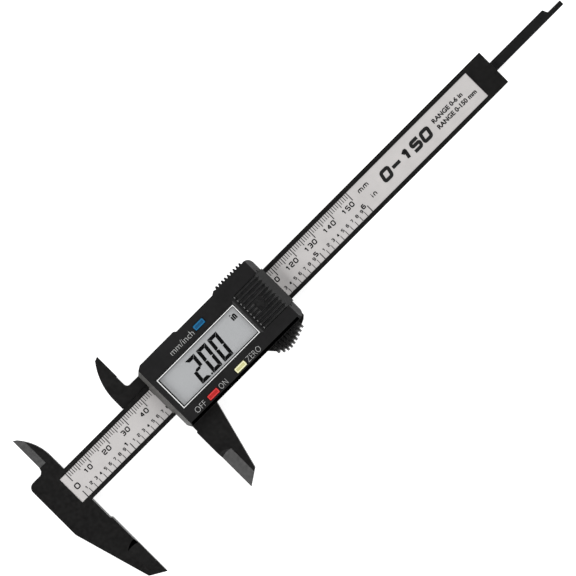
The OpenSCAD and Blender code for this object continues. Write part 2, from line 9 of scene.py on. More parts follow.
import bmesh
import bpy
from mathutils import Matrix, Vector


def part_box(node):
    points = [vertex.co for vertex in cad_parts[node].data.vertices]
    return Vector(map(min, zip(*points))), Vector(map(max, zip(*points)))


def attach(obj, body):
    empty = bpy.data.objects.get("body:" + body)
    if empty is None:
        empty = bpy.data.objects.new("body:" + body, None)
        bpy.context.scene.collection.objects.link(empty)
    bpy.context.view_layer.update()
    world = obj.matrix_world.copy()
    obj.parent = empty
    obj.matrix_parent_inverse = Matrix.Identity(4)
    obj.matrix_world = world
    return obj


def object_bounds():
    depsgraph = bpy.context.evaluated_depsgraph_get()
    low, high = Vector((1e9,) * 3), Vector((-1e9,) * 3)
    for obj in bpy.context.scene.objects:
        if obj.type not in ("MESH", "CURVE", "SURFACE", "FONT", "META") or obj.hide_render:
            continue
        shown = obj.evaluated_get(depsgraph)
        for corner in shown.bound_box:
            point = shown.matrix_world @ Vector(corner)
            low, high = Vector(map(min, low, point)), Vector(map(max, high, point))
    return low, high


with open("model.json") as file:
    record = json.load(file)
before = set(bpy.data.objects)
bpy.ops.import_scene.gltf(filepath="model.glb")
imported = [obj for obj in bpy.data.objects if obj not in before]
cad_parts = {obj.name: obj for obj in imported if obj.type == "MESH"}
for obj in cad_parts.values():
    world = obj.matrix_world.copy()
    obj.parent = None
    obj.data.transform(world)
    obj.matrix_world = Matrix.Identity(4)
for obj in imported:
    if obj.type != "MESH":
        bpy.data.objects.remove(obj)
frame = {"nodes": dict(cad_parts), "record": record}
cad_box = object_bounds()
nodes = frame["nodes"]

MM = 0.001
INCH = 25.4

# Places are x from the scale's zero mark or from the sliding face, and y from the beam's centre line
ZERO_INSET = 3.15
LABEL_HALF_WIDTH = 6.15
LENS_INSET = 3.8
label_low, label_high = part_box("scale_label")
cover_low, cover_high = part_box("front_cover")
lens_low, lens_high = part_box("window_lens")
beam_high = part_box("beam")[1]
glass_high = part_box("lcd_glass")[1]
ZERO_X = label_low.x / MM + ZERO_INSET
FACE_X = lens_low.x / MM - LENS_INSET
CENTRE_Y = label_low.y / MM + LABEL_HALF_WIDTH
LABEL_TOP = label_high.z / MM
FACE = cover_high.z / MM
LENS_TOP = lens_high.z / MM

# Thickness of a print, and how far a print or a thin sheet is sunk into its surface so that no gap shows
INK = 0.02
SINK = 0.005
SHEET_SINK = 0.01


def at_x(distance):
    """Place x of a distance along the scale."""
    return ZERO_X + distance


def slider_x(distance):
    """Place x of a distance from the sliding outside measuring face."""
    return FACE_X + distance


def at_y(offset):
    """Place y of an offset from the beam's centre line."""
    return CENTRE_Y + offset


def ink_level(surface, thickness=INK):
    """Lower and upper height of a print on a surface."""
    return surface - SINK, surface + thickness


LABEL_INK = ink_level(LABEL_TOP)
GLASS_INK = ink_level(glass_high.z / MM)


# ---------------------------------------------------------------- geometry helpers

def new_piece(name, bm, body, material):
    """Turns a bmesh in metres into a piece that rides on a body."""
    mesh = bpy.data.meshes.new(name)
    bm.normal_update()
    bm.to_mesh(mesh)
    bm.free()
    mesh.materials.append(material)
    piece = bpy.data.objects.new(name, mesh)
    bpy.context.scene.collection.objects.link(piece)
    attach(piece, body)


def add_plate(bm, outline, level):
    """A flat plate: an outline of (x, y) points, counter-clockwise, between two heights, in mm."""
    bottom, top = ([bm.verts.new((x * MM, y * MM, z * MM)) for x, y in outline] for z in level)
    bm.faces.new(top)
    bm.faces.new(bottom[::-1])
    count = len(outline)
    for i in range(count):
        j = (i + 1) % count
        bm.faces.new((bottom[i], bottom[j], top[j], top[i]))


def add_bar(bm, x0, y0, x1, y1, level):
    """A rectangular plate between two corners."""
    add_plate(bm, [(x0, y0), (x1, y0), (x1, y1), (x0, y1)], level)


def add_frame(bm, box, lines, level):
    """A flat rectangular frame inside a box, with the widths of its left, lower, right and upper side."""
    x0, y0, x1, y1 = box
    left, lower, right, upper = lines
    for a, b, c, d in ((x0, y0, x1, y0 + lower), (x0, y1 - upper, x1, y1),
                       (x0, y0 + lower, x0 + left, y1 - upper), (x1 - right, y0 + lower, x1, y1 - upper)):
        add_bar(bm, a, b, c, d, level)


def inset(box, lines):
    """A box made smaller by the widths of its left, lower, right and upper side."""
    return [box[0] + lines[0], box[1] + lines[1], box[2] - lines[2], box[3] - lines[3]]


def thin_sheet(outline, out):
    """A thin sheet on a sloping face, from an outline of points on it and its outward direction."""
    bm = bmesh.new()
    rows = []
    for lift in (-SHEET_SINK, INK):
        rows.append([bm.verts.new((Vector(point) + out * lift) * MM) for point in outline])
    bm.faces.new(rows[1])
    bm.faces.new(rows[0][::-1])
    count = len(outline)
    for i in range(count):
        j = (i + 1) % count
        bm.faces.new((rows[0][i], rows[0][j], rows[1][j], rows[1][i]))
    bmesh.ops.recalc_face_normals(bm, faces=bm.faces[:])
    return bm


def rounded_path(points, radius, closed, steps=4):
    """The points of a line with its corners rounded, each by less than half of the sides it joins."""
    count = len(points)
    path = []
    for i, corner in enumerate(points):
        if not closed and i in (0, count - 1):
            path.append(corner)
            continue
        here = Vector(corner)
        to_last = Vector(points[i - 1]) - here
        to_next = Vector(points[(i + 1) % count]) - here
        cut = min(radius, to_last.length * 0.45, to_next.length * 0.45)
        start = here + to_last.normalized() * cut
        end = here + to_next.normalized() * cut
        for k in range(steps + 1):
            t = k / steps
            path.append(tuple((1 - t) ** 2 * start + 2 * t * (1 - t) * here + t ** 2 * end))
    return path


def add_stroke(bm, points, width, closed, level):
    """A ribbon of constant width along a line, between two heights."""
    count = len(points)
    sides = []
    for i, point in enumerate(points):
        here = Vector(point)
        before = Vector(points[i - 1]) if closed or i > 0 else None
        after = Vector(points[(i + 1) % count]) if closed or i < count - 1 else None
        into = (here - before).normalized() if before is not None else (after - here).normalized()
        out = (after - here).normalized() if after is not None else into
        along = (into + out).normalized()
        across = Vector((-along.y, along.x))
        reach = width / 2 / max(0.5, across.dot(Vector((-into.y, into.x))))
        sides.append((here + across * reach, here - across * reach))
    # The corners of a row are left and right at the bottom, then left and right at the top
    rows = []
    for pair in sides:
        rows.append([bm.verts.new((p.x * MM, p.y * MM, z * MM)) for z in level for p in pair])
    for i in range(count if closed else count - 1):
        a, b = rows[i], rows[(i + 1) % count]
        for p, q in ((2, 3), (3, 1), (1, 0), (0, 2)):
            bm.faces.new((a[p], a[q], b[q], b[p]))
    if not closed:
        bm.faces.new((rows[0][0], rows[0][1], rows[0][3], rows[0][2]))
        bm.faces.new((rows[-1][2], rows[-1][3], rows[-1][1], rows[-1][0]))


# Letter styles: row (lower edge above the centre line), letter width and height, gap, stroke width
ZERO_STYLE = (-1.55, 2.3, 2.4, 0.3, 0.52)
METRIC_STYLE = (0.28, 1.8, 2.15, 0.3, 0.47)
METRIC_UNIT_STYLE = (1.9, 2.3, 2.1, 0.4, 0.40)
INCH_STYLE = (-3.35, 1.7, 1.95, 0.3, 0.48)
TENTH_STYLE = (-3.95, 1.15, 1.4, 0.2, 0.33)
INCH_UNIT_STYLE = (-2.85, 1.7, 2.1, -0.1, 0.40)
RANGE_STYLE = (-2.35, 4.9, 4.95, 0.38, 1.38)
DISPLAY_UNIT_STYLE = (1.38, 1.65, 3.3, -0.35, 0.64)

# Strokes of each character in a box 1 wide and 1 high: (closed, points)
GLYPHS = {
    "0": [(True, [(0, 0), (1, 0), (1, 1), (0, 1)])],
    "1": [(False, [(0.2, 0.72), (0.62, 1), (0.62, 0)])],
    "2": [(False, [(0, 0.76), (0, 1), (1, 1), (1, 0.52), (0, 0.48), (0, 0), (1, 0)])],
    "3": [(False, [(0, 1), (1, 1), (1, 0), (0, 0)]), (False, [(0.3, 0.5), (1, 0.5)])],
    "4": [(False, [(0.76, 0), (0.76, 1), (0, 0.28), (1, 0.28)])],
    "5": [(False, [(1, 1), (0, 1), (0, 0.54), (1, 0.54), (1, 0), (0, 0)])],
    "6": [(False, [(1, 1), (0, 1), (0, 0), (1, 0), (1, 0.56), (0, 0.56)])],
    "7": [(False, [(0, 1), (1, 1), (0.34, 0)])],
    "8": [(True, [(0, 0), (1, 0), (1, 1), (0, 1)]), (False, [(0, 0.52), (1, 0.52)])],
    "9": [(False, [(1, 0.44), (0, 0.44), (0, 1), (1, 1), (1, 0), (0, 0)])],
    "-": [(False, [(-0.05, 0.5), (1.05, 0.5)])],
    "m": [(False, [(0, 0), (0, 0.72), (1, 0.72), (1, 0)]), (False, [(0.5, 0.72), (0.5, 0)])],
    "n": [(False, [(0, 0), (0, 0.72), (0.8, 0.72), (0.8, 0)])],
    "i": [(False, [(0.5, 0), (0.5, 0.68)]), (False, [(0.5, 0.86), (0.5, 1)])],
}


def add_word(bm, word, right, style, level, lean=0.0, bend=0.28):
    """A word of stroke characters that ends at x = right; lean slants it, bend rounds its corners."""
    row, width, height, gap, line = style
    base = at_y(row) + line / 2
    radius = bend * min(width, height)
    run = width - line
    rise = height - line
    left = right - len(word) * width - (len(word) - 1) * gap
    for i, letter in enumerate(word):
        x = left + i * (width + gap) + line / 2
        for closed, points in GLYPHS[letter]:
            placed = [(x + px * run + lean * py * rise, base + py * rise) for px, py in points]
            add_stroke(bm, rounded_path(placed, radius, closed), line, closed, level)


# ---------------------------------------------------------------- materials

def node_material(name):
    """A new material with its node tree and its main shader."""
    material = bpy.data.materials.new(name)
    material.use_nodes = True
    tree = material.node_tree
    return material, tree, tree.nodes["Principled BSDF"]


def add_node(tree, kind, **settings):
    """A new node; each setting goes to the input of that name, or else to the node itself."""
    node = tree.nodes.new(kind)
    for key, value in settings.items():
        if key in node.inputs:
            node.inputs[key].default_value = value
        else:
            setattr(node, key, value)
    return node


def noise(tree, scale, detail=3.0, roughness=0.5):
    """A noise in object space; scale is in waves per metre."""
    place = add_node(tree, "ShaderNodeTexCoord")
    made = add_node(tree, "ShaderNodeTexNoise", Scale=scale, Detail=detail, Roughness=roughness)
    tree.links.new(place.outputs["Object"], made.inputs["Vector"])
    return made.outputs["Fac"]


def remap(tree, value, low, high, to_low, to_high):
    """Maps low..high to to_low..to_high and holds the ends."""
    made = add_node(tree, "ShaderNodeMapRange")
    for key, number in (("From Min", low), ("From Max", high), ("To Min", to_low), ("To Max", to_high)):
        made.inputs[key].default_value = number
    tree.links.new(value, made.inputs["Value"])
    return made.outputs["Result"]


def mix_colour(tree, factor, first, second):
    """Mixes two colours, each a tuple or the output of a node."""
    made = add_node(tree, "ShaderNodeMix", data_type="RGBA")
    tree.links.new(factor, made.inputs["Factor"])
    for socket, colour in ((made.inputs[6], first), (made.inputs[7], second)):
        if isinstance(colour, tuple):
            socket.default_value = (*colour, 1)
        else:
            tree.links.new(colour, socket)
    return made.outputs[2]


def edge_mask(tree, radius):
    """1 on worn edges and 0 on flat faces, from how far a rounded normal leans away from the true one."""
    rounded = add_node(tree, "ShaderNodeBevel", Radius=radius)
    rounded.samples = 4
    true = add_node(tree, "ShaderNodeNewGeometry")
    dot = add_node(tree, "ShaderNodeVectorMath", operation="DOT_PRODUCT")
    tree.links.new(rounded.outputs["Normal"], dot.inputs[0])
    tree.links.new(true.outputs["Normal"], dot.inputs[1])
    lean = remap(tree, dot.outputs["Value"], 0.985, 0.80, 0.0, 1.0)
    broken = remap(tree, noise(tree, 900, 4), 0.42, 0.62, 0.15, 1.0)
    both = add_node(tree, "ShaderNodeMath", operation="MULTIPLY")
    tree.links.new(lean, both.inputs[0])
    tree.links.new(broken, both.inputs[1])
    return both.outputs[0]


def add_bump(tree, shader, height, strength, distance):
    """Fine relief from a height; distance is in metres."""
    bump = add_node(tree, "ShaderNodeBump", Strength=strength, Distance=distance)
    tree.links.new(height, bump.inputs["Height"])
    tree.links.new(bump.outputs["Normal"], shader.inputs["Normal"])


def moulded_plastic(name, dark, light, rough, grain, worn, shine=0.11, wear_radius=0.00025):
    """Satin moulded plastic: cloudy colour, fine grain, uneven gloss and paler worn edges."""
    material, tree, shader = node_material(name)
    cloud = remap(tree, noise(tree, 120, 4), 0.35, 0.65, 0.0, 1.0)
    base = mix_colour(tree, cloud, dark, light)
    colour = mix_colour(tree, edge_mask(tree, wear_radius), base, worn)
    tree.links.new(colour, shader.inputs["Base Color"])
    gloss = remap(tree, noise(tree, 700, 5), 0.3, 0.7, rough - 0.06, rough + 0.09)
    tree.links.new(gloss, shader.inputs["Roughness"])
    shader.inputs["Specular IOR Level"].default_value = shine
    add_bump(tree, shader, noise(tree, 5200, 2, 0.6), grain, 0.00003)
    return material


def darken_run_outs(material, deep):
    """Painted shade: slopes that face the lower side, where a knife edge runs out, get a deeper black and
    lose their gloss.
    """
    tree = material.node_tree
    shader = tree.nodes["Principled BSDF"]
    plain = shader.inputs["Base Color"].links[0].from_socket
    side = add_node(tree, "ShaderNodeNewGeometry")
    parts = add_node(tree, "ShaderNodeSeparateXYZ")
    tree.links.new(side.outputs["Normal"], parts.inputs[0])
    both = add_node(tree, "ShaderNodeMath", operation="MULTIPLY")
    tree.links.new(parts.outputs["Y"], both.inputs[0])
    tree.links.new(parts.outputs["Z"], both.inputs[1])
    slope = remap(tree, both.outputs[0], -0.12, -0.35, 0.0, 1.0)
    tree.links.new(mix_colour(tree, slope, plain, deep), shader.inputs["Base Color"])
    # The painted shade also takes the gloss off these slopes
    shine = shader.inputs["Specular IOR Level"]
    tree.links.new(remap(tree, both.outputs[0], -0.12, -0.35, shine.default_value, 0.0), shine)
    return material


def smooth_plastic(name, colour, deep, rough=0.28):
    """Glossy coloured plastic with faint flow marks."""
    material, tree, shader = node_material(name)
    cloud = remap(tree, noise(tree, 500, 3), 0.35, 0.65, 0.0, 1.0)
    tree.links.new(mix_colour(tree, cloud, deep, colour), shader.inputs["Base Color"])
    gloss = remap(tree, noise(tree, 1500, 4), 0.3, 0.7, rough - 0.06, rough + 0.08)
    tree.links.new(gloss, shader.inputs["Roughness"])
    add_bump(tree, shader, noise(tree, 2500, 3), 0.08, 0.00003)
    return material


def metal(name, colour, rough, brushed=0.12, scratch_scale=(60, 2600, 2600)):
    """Metal with fine drawn lines, paler streaks along them and uneven gloss."""
    material, tree, shader = node_material(name)
    shader.inputs["Metallic"].default_value = 1.0
    place = add_node(tree, "ShaderNodeTexCoord")
    stretch = add_node(tree, "ShaderNodeMapping")
    stretch.inputs["Scale"].default_value = scratch_scale
    tree.links.new(place.outputs["Object"], stretch.inputs["Vector"])
    lines = add_node(tree, "ShaderNodeTexNoise", Scale=1.0, Detail=4.0)
    tree.links.new(stretch.outputs["Vector"], lines.inputs["Vector"])
    paler = tuple(min(1.0, c * 1.25) for c in colour)
    tone = remap(tree, lines.outputs["Fac"], 0.3, 0.7, 0.0, 0.7)
    tree.links.new(mix_colour(tree, tone, colour, paler), shader.inputs["Base Color"])
    gloss = remap(tree, lines.outputs["Fac"], 0.3, 0.7, rough - 0.08, rough + 0.1)
    tree.links.new(gloss, shader.inputs["Roughness"])
    add_bump(tree, shader, lines.outputs["Fac"], brushed, 0.00002)
    return material


def silver_label():
    """Silver-grey printed film with a fine speckle."""
    material, tree, shader = node_material("silver_label")
    speckle = remap(tree, noise(tree, 4200, 2, 0.7), 0.35, 0.65, 0.0, 1.0)
    cloud = remap(tree, noise(tree, 160, 3), 0.3, 0.7, 0.0, 1.0)
    both = add_node(tree, "ShaderNodeMath", operation="MULTIPLY_ADD")
    both.inputs[1].default_value = 0.35
    tree.links.new(cloud, both.inputs[0])
    half = add_node(tree, "ShaderNodeMath", operation="MULTIPLY")
    half.inputs[1].default_value = 0.65
    tree.links.new(speckle, half.inputs[0])
    tree.links.new(half.outputs[0], both.inputs[2])
    colour = mix_colour(tree, both.outputs[0], (0.355, 0.341, 0.335), (0.455, 0.437, 0.43))
    tree.links.new(colour, shader.inputs["Base Color"])
    shader.inputs["Metallic"].default_value = 0.15
    tree.links.new(remap(tree, speckle, 0, 1, 0.42, 0.56), shader.inputs["Roughness"])
    add_bump(tree, shader, speckle, 0.12, 0.00002)
    return material


def print_ink(name, colour, rough=0.5, fade=0.012, shine=0.15):
    """Screen-printed ink: slightly uneven in tone and gloss."""
    material, tree, shader = node_material(name)
    shader.inputs["Specular IOR Level"].default_value = shine
    uneven = remap(tree, noise(tree, 3000, 4), 0.3, 0.7, 0.0, 1.0)
    paler = tuple(min(1.0, c * 0.9 + fade) for c in colour)
    tree.links.new(mix_colour(tree, uneven, colour, paler), shader.inputs["Base Color"])
    tree.links.new(remap(tree, uneven, 0, 1, rough - 0.05, rough + 0.12), shader.inputs["Roughness"])
    return material


def clear_window():
    """Clear polished acrylic: see-through, with gloss on its outer faces and faint handling marks."""
    material, tree, shader = node_material("clear_window")
    tree.nodes.remove(shader)
    clear = add_node(tree, "ShaderNodeBsdfTransparent")
    clear.inputs["Color"].default_value = (0.96, 0.965, 0.97, 1)
    gloss = add_node(tree, "ShaderNodeBsdfAnisotropic")
    gloss.inputs["Color"].default_value = (1, 1, 1, 1)
    marks = remap(tree, noise(tree, 260, 5), 0.45, 0.75, 0.02, 0.16)
    tree.links.new(marks, gloss.inputs["Roughness"])
    mirror = add_node(tree, "ShaderNodeFresnel", IOR=1.49)
    side = add_node(tree, "ShaderNodeNewGeometry")
    outer = add_node(tree, "ShaderNodeMath", operation="SUBTRACT", use_clamp=True)
    tree.links.new(mirror.outputs["Fac"], outer.inputs[0])
    tree.links.new(side.outputs["Backfacing"], outer.inputs[1])
    both = add_node(tree, "ShaderNodeMixShader")
    tree.links.new(outer.outputs[0], both.inputs[0])
    tree.links.new(clear.outputs["BSDF"], both.inputs[1])
    tree.links.new(gloss.outputs["BSDF"], both.inputs[2])
    tree.links.new(both.outputs["Shader"], tree.nodes["Material Output"].inputs["Surface"])
    return material


def lcd_film():
    """Grey reflective liquid crystal panel under a satin polariser, with a faint painted glow that lifts
    the shade inside the window.
    """
    material, tree, shader = node_material("lcd_film")
    grain = remap(tree, noise(tree, 6000, 2), 0.3, 0.7, 0.0, 1.0)
    colour = mix_colour(tree, grain, (0.19, 0.19, 0.19), (0.215, 0.215, 0.215))
    tree.links.new(colour, shader.inputs["Base Color"])
    tree.links.new(remap(tree, grain, 0, 1, 0.4, 0.5), shader.inputs["Roughness"])
    # Painted light: a faint glow that lifts the shade that the window's walls cast on the panel
    shader.inputs["Emission Color"].default_value = (1, 1, 1, 1)
    shader.inputs["Emission Strength"].default_value = 0.2
    return material


def circuit_board():
    """Green solder mask with paler copper tracks showing through."""
    material, tree, shader = node_material("circuit_board")
    place = add_node(tree, "ShaderNodeTexCoord")
    tracks = add_node(tree, "ShaderNodeTexBrick", Scale=1.0)
    tracks.inputs["Brick Width"].default_value = 0.0038
    tracks.inputs["Row Height"].default_value = 0.0011
    tracks.inputs["Mortar Size"].default_value = 0.00016
    tracks.inputs["Color1"].default_value = (0.012, 0.085, 0.03, 1)
    tracks.inputs["Color2"].default_value = (0.014, 0.10, 0.035, 1)
    tracks.inputs["Mortar"].default_value = (0.04, 0.20, 0.07, 1)
    tree.links.new(place.outputs["Object"], tracks.inputs["Vector"])
    tree.links.new(tracks.outputs["Color"], shader.inputs["Base Color"])
    tree.links.new(remap(tree, noise(tree, 900, 3), 0.3, 0.7, 0.22, 0.36), shader.inputs["Roughness"])
    add_bump(tree, shader, tracks.outputs["Fac"], 0.15, 0.00003)
    return material


def rubber(name, colour):
    """Dull rubber with a fine grain."""
    material, tree, shader = node_material(name)
    grain = noise(tree, 3500, 3)
    paler = tuple(c * 1.6 for c in colour)
    tree.links.new(mix_colour(tree, grain, colour, paler), shader.inputs["Base Color"])
    tree.links.new(remap(tree, grain, 0.3, 0.7, 0.65, 0.85), shader.inputs["Roughness"])
    add_bump(tree, shader, grain, 0.2, 0.00004)
    return material


black = moulded_plastic("black_plastic", (0.0034, 0.0032, 0.0031), (0.0052, 0.0049, 0.0047), 0.36, 0.22,
                        (0.022, 0.021, 0.021), 0.2)
# The beam's plastic, with painted shade on the slopes where its knife edges run out
beam_black = darken_run_outs(
    moulded_plastic("beam_plastic", (0.0026, 0.0024, 0.0023), (0.0042, 0.0039, 0.0037), 0.36, 0.22,
                    (0.022, 0.021, 0.021), 0.18), (0.0002, 0.0002, 0.0002))
cover_black = moulded_plastic("cover_plastic", (0.0090, 0.0088, 0.0089), (0.0120, 0.0118, 0.0120),
                              0.36, 0.20, (0.026, 0.026, 0.026), 0.07)
door_black = moulded_plastic("door_plastic", (0.0028, 0.0027, 0.0027), (0.0046, 0.0045, 0.0045), 0.36, 0.20,
                             (0.030, 0.030, 0.030), 0.34)
# Paler grey that paints the highlight on the slope beside the reading edge
painted_highlight_grey = moulded_plastic("painted_highlight_grey", (0.053, 0.052, 0.0495), (0.067, 0.065, 0.0625), 0.5, 0.15,
                            (0.08, 0.078, 0.075))
rod_black = moulded_plastic("rod_black", (0.0060, 0.0060, 0.0061), (0.0080, 0.0080, 0.0082), 0.32, 0.12,
                            (0.022, 0.022, 0.023))
white_plastic = moulded_plastic("white_plastic", (0.62, 0.61, 0.57), (0.70, 0.69, 0.65), 0.42, 0.12,
                                (0.78, 0.77, 0.74), 0.5)
steel = metal("zinc_steel", (0.50, 0.50, 0.52), 0.30)
cell_steel = metal("cell_steel", (0.32, 0.33, 0.34), 0.36, 0.03, (420, 420, 420))
bronze = metal("spring_bronze", (0.60, 0.44, 0.24), 0.26)
copper = metal("copper", (0.72, 0.36, 0.20), 0.3)
label_film = silver_label()
black_ink = print_ink("black_ink", (0.004, 0.004, 0.004), 0.5, 0.004)
white_ink = print_ink("white_ink", (0.62, 0.62, 0.615))
grey_ink = print_ink("grey_ink", (0.29, 0.29, 0.285))
# Near-black colour that paints the shade on the housing's lower bevel
painted_shade_black = print_ink("painted_shade_black", (0.0002, 0.0002, 0.0002), 0.8, 0.0, 0.0)
lcd_ink = print_ink("lcd_segments", (0.0008, 0.0008, 0.0008), 0.5, 0.0, 0.0)
window = clear_window()
lcd = lcd_film()
board = circuit_board()
zebra = rubber("zebra_rubber", (0.03, 0.03, 0.033))
potting = smooth_plastic("potting_resin", (0.012, 0.012, 0.012), (0.007, 0.007, 0.007), 0.25)
reflector = smooth_plastic("reflector_film", (0.62, 0.62, 0.60), (0.56, 0.56, 0.54), 0.5)
blue = smooth_plastic("blue_button", (0.0025, 0.052, 0.125), (0.0020, 0.040, 0.100), 0.3)
red = smooth_plastic("red_button", (0.32, 0.011, 0.010), (0.27, 0.008, 0.008), 0.3)
yellow = smooth_plastic("yellow_button", (0.43, 0.42, 0.20), (0.37, 0.36, 0.16), 0.3)
# Paler colours that paint the highlight round the buttons' rounded tops
blue_highlight = smooth_plastic("blue_highlight", (0.012, 0.125, 0.255), (0.010, 0.11, 0.235), 0.25)
red_highlight = smooth_plastic("red_highlight", (0.50, 0.042, 0.042), (0.46, 0.036, 0.036), 0.25)
yellow_highlight = smooth_plastic("yellow_highlight", (0.66, 0.65, 0.45), (0.62, 0.61, 0.41), 0.2)

SLOT_MATERIALS = {
    "black_plastic": black, "cover_plastic": cover_black, "rod_black": rod_black,
    "scale_silver": label_film, "board_green": board, "copper": copper, "steel": steel,
    "spring_bronze": bronze, "cell_steel": cell_steel, "window_clear": window, "lcd": lcd,
    "white_plastic": white_plastic, "reflector": reflector, "zebra_rubber": zebra,
    "potting": potting, "blue_button": blue, "red_button": red, "yellow_button": yellow,
}
# Nodes whose finish differs from the rest of their slot; the beam's also carries painted shade on its
# run-out slopes
NODE_MATERIALS = {"battery_cover": door_black, "beam": beam_black}

# ---------------------------------------------------------------- CAD pieces: materials and soft edges

# Joining distance in metres; angles in degrees up to which faces are flat and from which an edge is sharp
JOIN = 0.000002
FLAT_ANGLE = 0.6
SHARP_ANGLE = 18
# Width of the softened edges of each node
EDGE_WIDTHS = {
    "beam": 0.10, "slider_frame": 0.10, "front_cover": 0.12, "battery_cover": 0.08, "depth_rod": 0.10,
    "button_units": 0.14, "button_power": 0.14, "button_zero": 0.14, "window_lens": 0.10,
    "lcd_holder": 0.08, "end_stop_plate": 0.12, "battery": 0.25, "scale_label": 0.03, "main_board": 0.05,
}


def soften_edges(piece, width):
    """Joins the split corners, clears the flat triangles, then rounds every sharp edge."""
    weld = piece.modifiers.new("join", "WELD")
    weld.merge_threshold = JOIN
    flat = piece.modifiers.new("flat", "DECIMATE")
    flat.decimate_type = "DISSOLVE"
    flat.angle_limit = math.radians(FLAT_ANGLE)
    edge = piece.modifiers.new("edge", "BEVEL")
    edge.width = width * MM
    edge.segments = 2
    edge.limit_method = "ANGLE"
    edge.angle_limit = math.radians(SHARP_ANGLE)
    edge.use_clamp_overlap = True
    even = piece.modifiers.new("even", "WEIGHTED_NORMAL")
    even.keep_sharp = False
    even.weight = 80


for entry in frame["record"]["subparts"]:
    piece = nodes[entry["node"]]
    piece.data.materials.clear()
    own = NODE_MATERIALS.get(entry["node"], SLOT_MATERIALS[entry["material_slot"]])
    piece.data.materials.append(own)
    if entry["node"] in EDGE_WIDTHS:
        soften_edges(piece, EDGE_WIDTHS[entry["node"]])

# ---------------------------------------------------------------- the printed scale

SCALE_MM = 150
SCALE_INCHES = 6
TENTHS = 10
METRIC_EDGE_Y = 5.95
INCH_EDGE_Y = -6.1

# Right ends of the words, and how far left of its mark each number ends
ZERO_RIGHT = 1.1
METRIC_UNIT_RIGHT = 158.6
INCH_UNIT_RIGHT = 158.8
RANGE_RIGHT = 189.2
TWO_FIGURE_GAP = 0.65
THREE_FIGURE_GAP = 0.45
INCH_GAP = 0.45
TENTH_GAP = -0.05

# Length and line width of each kind of mark
TEN_MARK = (3.8, 0.35)
FIVE_MARK = (2.8, 0.32)
ONE_MARK = (2.1, 0.28)
INCH_MARK = (3.0, 0.36)
TENTH_MARK = (2.0, 0.26)


def add_tick(bm, distance, low, high, width):
    """One mark of the scale, between two offsets from the beam's centre line."""
    x = at_x(distance)
    add_bar(bm, x - width / 2, at_y(low), x + width / 2, at_y(high), LABEL_INK)


def metric_ticks():
    """Marks of the millimetre scale, which hang from the label's upper edge."""
    bm = bmesh.new()
    for i in range(SCALE_MM + 1):
        length, width = TEN_MARK if i % 10 == 0 else FIVE_MARK if i % 5 == 0 else ONE_MARK
        add_tick(bm, i, METRIC_EDGE_Y - length, METRIC_EDGE_Y, width)
    return bm


def inch_ticks():
    """Marks of the inch scale, which stand on the label's lower edge."""
    bm = bmesh.new()
    for i in range(SCALE_INCHES * TENTHS + 1):
        length, width = TENTH_MARK if i % TENTHS else INCH_MARK
        add_tick(bm, i * INCH / TENTHS, INCH_EDGE_Y, INCH_EDGE_Y + length, width)
    return bm


def metric_numbers():
    """A zero, the tens of millimetres to the left of their marks, and the unit."""
    bm = bmesh.new()
    add_word(bm, "0", at_x(ZERO_RIGHT), ZERO_STYLE, LABEL_INK)
    for i in range(10, SCALE_MM + 1, 10):
        gap = TWO_FIGURE_GAP if i < 100 else THREE_FIGURE_GAP
        add_word(bm, str(i), at_x(i - gap), METRIC_STYLE, LABEL_INK)
    add_word(bm, "mm", at_x(METRIC_UNIT_RIGHT), METRIC_UNIT_STYLE, LABEL_INK)
    return bm


def inch_numbers():
    """Small tenths, the inches to the left of their marks, and the unit."""
    bm = bmesh.new()
    for i in range(1, SCALE_INCHES * TENTHS + 1):
        x = i * INCH / TENTHS
        if i % TENTHS:
            add_word(bm, str(i % TENTHS), at_x(x - TENTH_GAP), TENTH_STYLE, LABEL_INK)
        else:
            add_word(bm, str(i // TENTHS), at_x(x - INCH_GAP), INCH_STYLE, LABEL_INK)
    add_word(bm, "in", at_x(INCH_UNIT_RIGHT), INCH_UNIT_STYLE, LABEL_INK)
    return bm


new_piece("scale_ticks_mm", metric_ticks(), "beam", black_ink)
new_piece("scale_ticks_inch", inch_ticks(), "beam", black_ink)
new_piece("scale_numbers_mm", metric_numbers(), "beam", black_ink)
new_piece("scale_numbers_inch", inch_numbers(), "beam", black_ink)


def add_text(name, words, left, base, width, height, top, body, material, bold=0.0):
    """A printed word in a plain face, fitted to a box whose lower left corner is (left, base), in mm."""
    curve = bpy.data.curves.new(name + "_curve", "FONT")
    curve.body = words
    curve.offset = bold
    curve.resolution_u = 4
    source = bpy.data.objects.new(name + "_source", curve)
    bpy.context.scene.collection.objects.link(source)
    bpy.context.view_layer.update()
    flat = bpy.data.meshes.new_from_object(source.evaluated_get(bpy.context.evaluated_depsgraph_get()))
    bpy.data.objects.remove(source)
    xs = [v.co.x for v in flat.vertices]
    ys = [v.co.y for v in flat.vertices]
    scale_x = width / (max(xs) - min(xs))
    scale_y = height / (max(ys) - min(ys))
    low, high = ink_level(top)
    bm = bmesh.new()
    bm.from_mesh(flat)
    bpy.data.meshes.remove(flat)
    for v in bm.verts:
        x = left + (v.co.x - min(xs)) * scale_x
        y = base + (v.co.y - min(ys)) * scale_y
        v.co = Vector((x, y, high)) * MM
    made = bmesh.ops.extrude_face_region(bm, geom=bm.faces[:])
    for v in made["geom"]:
        if isinstance(v, bmesh.types.BMVert):
            v.co.z = low * MM
    bmesh.ops.recalc_face_normals(bm, faces=bm.faces[:])
    new_piece(name, bm, body, material)


